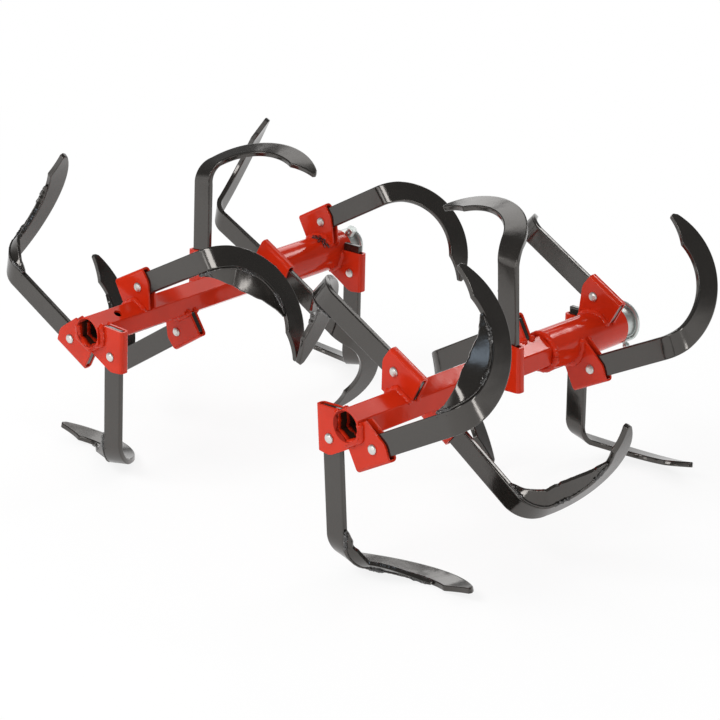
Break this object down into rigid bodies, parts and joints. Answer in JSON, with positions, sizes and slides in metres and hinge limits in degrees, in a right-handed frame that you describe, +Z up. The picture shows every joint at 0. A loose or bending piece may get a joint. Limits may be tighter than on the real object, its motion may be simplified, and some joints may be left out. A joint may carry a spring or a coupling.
{
  "type": "tiller tine rotor pair",
  "caption": "Mirrored pair of tiller tine rotors: hexagon tubes with hooked black tines riveted in folded red clips and a pin with a wire bail at the end.",
  "frame": {"origin": "centre of the right rotor's hexagon bore in the plane of its open end", "axes": "+Y along the right rotor's tube away from its open end, +Z up, +X to the right as seen from the open end"},
  "size_m": [0.9218, 0.5479, 0.3987],
  "materials": {
    "red_paint": "gloss enamel",
    "black_paint": "gloss enamel",
    "rivet_zinc": "zinc plated",
    "clip_zinc": "passivated zinc plating"
  },
  "bodies": {
    "right_rotor": {"right_hex_tube": "red_paint", "right_socket_sleeve": "red_paint", "right_end_collar": "clip_zinc", "right_clip_pin": "clip_zinc", "right_bracket_1": "red_paint", "right_bracket_2": "red_paint", "right_bracket_3": "red_paint", "right_bracket_4": "red_paint", "right_bracket_5": "red_paint", "right_bracket_6": "red_paint", "right_bracket_7": "red_paint", "right_bracket_8": "red_paint", "right_bracket_9": "red_paint", "right_tine_1": "black_paint", "right_tine_2": "black_paint", "right_tine_3": "black_paint", "right_tine_4": "black_paint", "right_tine_5": "black_paint", "right_tine_6": "black_paint", "right_tine_7": "black_paint", "right_tine_8": "black_paint", "right_tine_9": "black_paint", "right_wing_1": "black_paint", "right_wing_2": "black_paint", "right_wing_3": "black_paint", "right_wing_4": "black_paint", "right_tine_rivets": "rivet_zinc"},
    "right_bail": {"right_clip_bail": "clip_zinc"},
    "left_rotor": {"left_hex_tube": "red_paint", "left_socket_sleeve": "red_paint", "left_end_collar": "clip_zinc", "left_clip_pin": "clip_zinc", "left_bracket_1": "red_paint", "left_bracket_2": "red_paint", "left_bracket_3": "red_paint", "left_bracket_4": "red_paint", "left_bracket_5": "red_paint", "left_bracket_6": "red_paint", "left_bracket_7": "red_paint", "left_bracket_8": "red_paint", "left_bracket_9": "red_paint", "left_tine_1": "black_paint", "left_tine_2": "black_paint", "left_tine_3": "black_paint", "left_tine_4": "black_paint", "left_tine_5": "black_paint", "left_tine_6": "black_paint", "left_tine_7": "black_paint", "left_tine_8": "black_paint", "left_tine_9": "black_paint", "left_wing_1": "black_paint", "left_wing_2": "black_paint", "left_wing_3": "black_paint", "left_wing_4": "black_paint", "left_tine_rivets": "rivet_zinc"},
    "left_bail": {"left_clip_bail": "clip_zinc"}
  },
  "joints": [
    {"name": "left_rotor_carry", "type": "slide", "parent": "right_rotor", "child": "left_rotor", "axis": [-1, 0, 0], "range_m": [0, 0.5]},
    {"name": "right_bail_hinge", "type": "hinge", "parent": "right_rotor", "child": "right_bail", "pos_m": [-0.01361, 0.4945, 0.02405], "axis": [0, -1, 0], "range_deg": [0, 110]},
    {"name": "left_bail_hinge", "type": "hinge", "parent": "left_rotor", "child": "left_bail", "pos_m": [-0.47294, 0.49472, 0.02368], "axis": [0.068, -0.9977, 0], "range_deg": [0, 110]}
  ]
}
